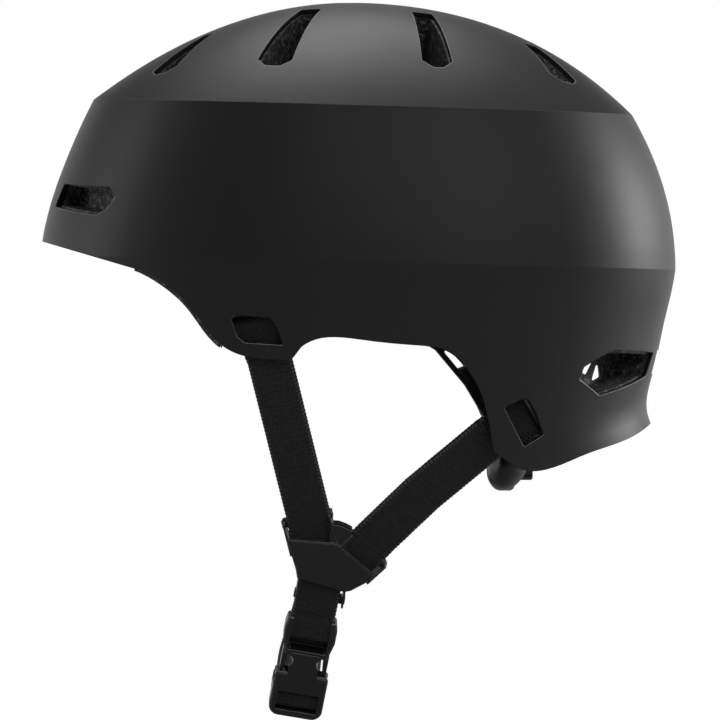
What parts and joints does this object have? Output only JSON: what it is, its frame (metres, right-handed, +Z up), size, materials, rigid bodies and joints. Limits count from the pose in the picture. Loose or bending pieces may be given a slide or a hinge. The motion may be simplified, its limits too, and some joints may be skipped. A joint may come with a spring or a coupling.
{
  "type": "skateboard helmet",
  "caption": "Hard-shell helmet with foam liner, crown vents, webbing chin harness with side release buckle, and a dial fit band",
  "frame": {"origin": "centre of the head, inside the cavity on the centre plane, 113 mm below the top of the crown", "axes": "+Z up, -X towards the front brim, -Y towards the wearer's left side"},
  "size_m": [0.2787, 0.214, 0.3151],
  "materials": {
    "shell": "matte black moulded shell, soft-touch satin sheen",
    "foam": "black expanded bead foam, speckled",
    "pad": "black brushed knit over soft foam",
    "webbing": "black woven webbing with cross ribs",
    "fitting": "satin black moulded plastic",
    "keeper": "black rubber band",
    "band": "semi-flexible dark plastic",
    "dial": "soft-touch grip dial"
  },
  "bodies": {
    "root": {"outer_shell": "shell", "foam_liner": "foam", "brow_pad": "pad", "crown_pad": "pad", "side_pad_left": "pad", "side_pad_right": "pad", "front_strap_left": "webbing", "front_strap_right": "webbing", "rear_strap_left": "webbing", "rear_strap_right": "webbing", "chin_strap_left": "webbing", "chin_strap_right": "webbing", "front_anchor_bar_left": "fitting", "front_anchor_bar_right": "fitting", "rear_anchor_bar_left": "fitting", "rear_anchor_bar_right": "fitting", "strap_divider_left": "fitting", "strap_divider_right": "fitting", "buckle_plug": "fitting", "temple_pin_left": "fitting", "temple_pin_right": "fitting"},
    "fit_cradle": {"fit_arm_left": "band", "fit_arm_right": "band", "dial_housing": "band", "housing_cover": "band", "nape_pad": "pad"},
    "dial": {"fit_dial": "dial", "dial_pinion": "band"},
    "rack_left": {"fit_rack_left": "band"},
    "rack_right": {"fit_rack_right": "band"},
    "prong_front": {"buckle_prong_front": "fitting"},
    "prong_rear": {"buckle_prong_rear": "fitting"},
    "socket": {"buckle_socket": "fitting"},
    "keeper": {"strap_keeper": "keeper"}
  },
  "joints": [
    {"name": "fit_system_tilt", "type": "hinge", "parent": "root", "child": "fit_cradle", "pos_m": [0.006, 0, -0.014], "axis": [0, 1, 0], "range_deg": [-8, 6]},
    {"name": "fit_dial_turn", "type": "hinge", "parent": "fit_cradle", "child": "dial", "pos_m": [0.068, 0, -0.083], "axis": [1, 0, 0], "range_deg": [-40.9, 92]},
    {"name": "fit_rack_left_slide", "type": "slide", "parent": "fit_cradle", "child": "rack_left", "axis": [0, 1, 0], "range_m": [-0.004, 0.009], "deforming": ["fit_arm_left"]},
    {"name": "fit_rack_right_slide", "type": "slide", "parent": "fit_cradle", "child": "rack_right", "axis": [0, -1, 0], "range_m": [-0.004, 0.009], "deforming": ["fit_arm_right"]},
    {"name": "prong_front_squeeze", "type": "hinge", "parent": "root", "child": "prong_front", "pos_m": [-0.03232, -0.0387, -0.16962], "axis": [0, -0.9143, -0.4051], "range_deg": [0, 8], "stiffness_Nm_per_rad": 0.05},
    {"name": "prong_rear_squeeze", "type": "hinge", "parent": "root", "child": "prong_rear", "pos_m": [-0.01461, -0.03738, -0.17259], "axis": [0, -0.9143, -0.4051], "range_deg": [-8, 0]},
    {"name": "buckle_release", "type": "slide", "parent": "root", "child": "socket", "axis": [-0.1805, 0.3984, -0.8993], "range_m": [0, 0.024], "deforming": ["chin_strap_right", "buckle_prong_front", "buckle_prong_rear"]},
    {"name": "keeper_slide", "type": "slide", "parent": "root", "child": "keeper", "axis": [0.0401, 0.9355, 0.351], "range_m": [0, 0.014]}
  ],
  "couplings": [
    {"joint": "fit_rack_left_slide", "follows": "fit_dial_turn", "m_per_rad": 0.0056},
    {"joint": "fit_rack_right_slide", "follows": "fit_dial_turn", "m_per_rad": 0.0056},
    {"joint": "prong_rear_squeeze", "follows": "prong_front_squeeze", "ratio": -1}
  ]
}
